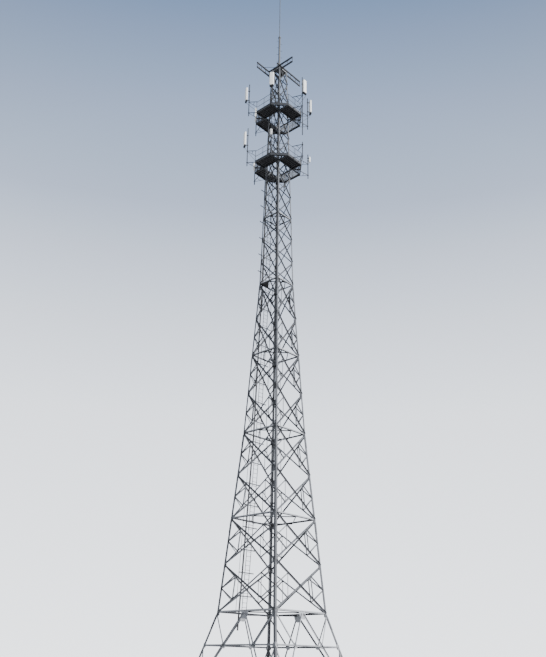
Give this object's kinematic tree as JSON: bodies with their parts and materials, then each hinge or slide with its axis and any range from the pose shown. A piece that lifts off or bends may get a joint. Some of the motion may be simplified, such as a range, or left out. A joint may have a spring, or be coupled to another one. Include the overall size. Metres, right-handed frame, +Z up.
{
  "type": "lattice communications tower, 1:2 scale model",
  "caption": "Four-legged angle-steel lattice tower with flared feet, octagonal work platforms, panel antennas, cable ladder and a lightning mast.",
  "frame": {"origin": "centre of the underside of the front left base plate, which stands on the foundation", "axes": "+Z up the tower, +X to the right and +Y to the back; the cables climb the -X side and the picture looks from between +X and -Y"},
  "size_m": [4.38, 4.38, 30.5],
  "materials": {
    "galvanised_steel": "matt",
    "dark_steel": "matt",
    "cable_sheath": "matt",
    "antenna_shell": "satin"
  },
  "bodies": {
    "root": {"front_left_leg": "galvanised_steel", "front_left_base_plate": "galvanised_steel", "front_right_leg": "galvanised_steel", "front_right_base_plate": "galvanised_steel", "back_right_leg": "galvanised_steel", "back_right_base_plate": "galvanised_steel", "back_left_leg": "galvanised_steel", "back_left_base_plate": "galvanised_steel", "front_portal_bracing": "galvanised_steel", "front_lower_bracing": "galvanised_steel", "front_middle_bracing": "galvanised_steel", "front_upper_bracing": "galvanised_steel", "right_portal_bracing": "galvanised_steel", "right_lower_bracing": "galvanised_steel", "right_middle_bracing": "galvanised_steel", "right_upper_bracing": "galvanised_steel", "back_portal_bracing": "galvanised_steel", "back_lower_bracing": "galvanised_steel", "back_middle_bracing": "galvanised_steel", "back_upper_bracing": "galvanised_steel", "left_portal_bracing": "galvanised_steel", "left_lower_bracing": "galvanised_steel", "left_middle_bracing": "galvanised_steel", "left_upper_bracing": "galvanised_steel", "lower_level_frames": "galvanised_steel", "middle_level_frames": "galvanised_steel", "upper_level_frames": "galvanised_steel", "cable_rack": "galvanised_steel", "climbing_ladder": "galvanised_steel", "lower_platform_frame": "galvanised_steel", "upper_platform_frame": "galvanised_steel", "lower_platform_railing": "galvanised_steel", "upper_platform_railing": "galvanised_steel", "lower_antenna_brackets": "galvanised_steel", "upper_antenna_brackets": "galvanised_steel", "head_frame": "galvanised_steel", "mast": "galvanised_steel", "lightning_rod": "galvanised_steel", "rest_platform": "dark_steel", "lower_platform_deck": "dark_steel", "upper_platform_deck": "dark_steel", "feeder_cables": "cable_sheath", "jumper_cables": "cable_sheath", "panel_antennas": "antenna_shell", "radio_units": "antenna_shell"}
  },
  "joints": []
}
